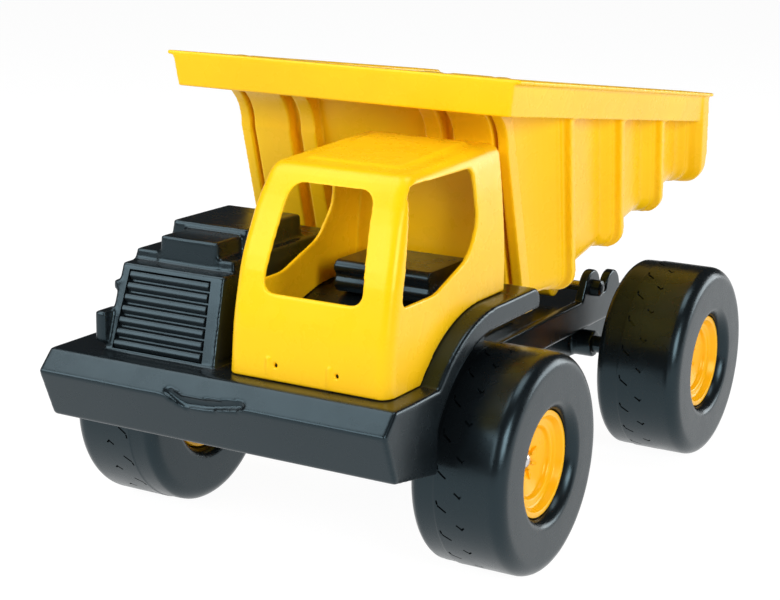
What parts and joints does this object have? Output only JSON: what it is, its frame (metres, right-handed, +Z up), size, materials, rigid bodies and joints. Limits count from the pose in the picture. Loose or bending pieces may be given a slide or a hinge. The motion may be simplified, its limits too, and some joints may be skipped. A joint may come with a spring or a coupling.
{
  "type": "toy haul truck",
  "caption": "Moulded toy haul truck with a tipping dump bed and canopy, a side-mounted cab, a louvred hood and free-running wheels.",
  "frame": {"origin": "on the ground at the centre of the bounding box, under the middle of the truck", "axes": "-Y is the way the truck drives, +X is its left side, +Z is up"},
  "size_m": [0.343, 0.536, 0.3304],
  "materials": {
    "yellow_body": "glossy moulded polyethylene",
    "yellow_hub": "semi-gloss moulded plastic",
    "black_body": "semi-gloss moulded plastic",
    "black_frame": "satin moulded plastic",
    "black_tyre": "satin hollow moulded plastic",
    "steel": "plain bright steel"
  },
  "bodies": {
    "chassis": {"chassis": "black_frame", "front_body": "black_body", "cab_shell": "yellow_body", "bench_seat": "black_body", "hinge_rod": "steel", "hinge_cap_left": "black_frame", "hinge_cap_right": "black_frame", "body_screw_1": "steel", "body_screw_2": "steel", "body_screw_3": "steel", "body_screw_4": "steel", "cab_screw_1": "steel", "cab_screw_2": "steel", "spacer_front_left": "black_frame", "spacer_front_right": "black_frame", "spacer_rear_left": "black_frame", "spacer_rear_right": "black_frame"},
    "bed": {"dump_bed": "yellow_body"},
    "axle_front": {"axle_front": "steel", "axle_cap_front_left": "steel", "axle_cap_front_right": "steel"},
    "wheel_front_left": {"tyre_front_left": "black_tyre", "hub_front_left": "yellow_hub"},
    "wheel_front_right": {"tyre_front_right": "black_tyre", "hub_front_right": "yellow_hub"},
    "axle_rear": {"axle_rear": "steel", "axle_cap_rear_left": "steel", "axle_cap_rear_right": "steel"},
    "wheel_rear_left": {"tyre_rear_left": "black_tyre", "hub_rear_left": "yellow_hub"},
    "wheel_rear_right": {"tyre_rear_right": "black_tyre", "hub_rear_right": "yellow_hub"}
  },
  "joints": [
    {"name": "bed_tip", "type": "hinge", "parent": "chassis", "child": "bed", "pos_m": [0, 0.19, 0.124], "axis": [-1, 0, 0], "range_deg": [0, 52]},
    {"name": "axle_front_turn", "type": "hinge", "parent": "chassis", "child": "axle_front", "pos_m": [0, -0.11, 0.076], "axis": [1, 0, 0], "continuous": true},
    {"name": "wheel_front_left_spin", "type": "hinge", "parent": "chassis", "child": "wheel_front_left", "pos_m": [0.137, -0.11, 0.076], "axis": [1, 0, 0], "continuous": true},
    {"name": "wheel_front_right_spin", "type": "hinge", "parent": "chassis", "child": "wheel_front_right", "pos_m": [-0.137, -0.11, 0.076], "axis": [1, 0, 0], "continuous": true},
    {"name": "axle_rear_turn", "type": "hinge", "parent": "chassis", "child": "axle_rear", "pos_m": [0, 0.192, 0.076], "axis": [1, 0, 0], "continuous": true},
    {"name": "wheel_rear_left_spin", "type": "hinge", "parent": "chassis", "child": "wheel_rear_left", "pos_m": [0.137, 0.192, 0.076], "axis": [1, 0, 0], "continuous": true},
    {"name": "wheel_rear_right_spin", "type": "hinge", "parent": "chassis", "child": "wheel_rear_right", "pos_m": [-0.137, 0.192, 0.076], "axis": [1, 0, 0], "continuous": true}
  ]
}
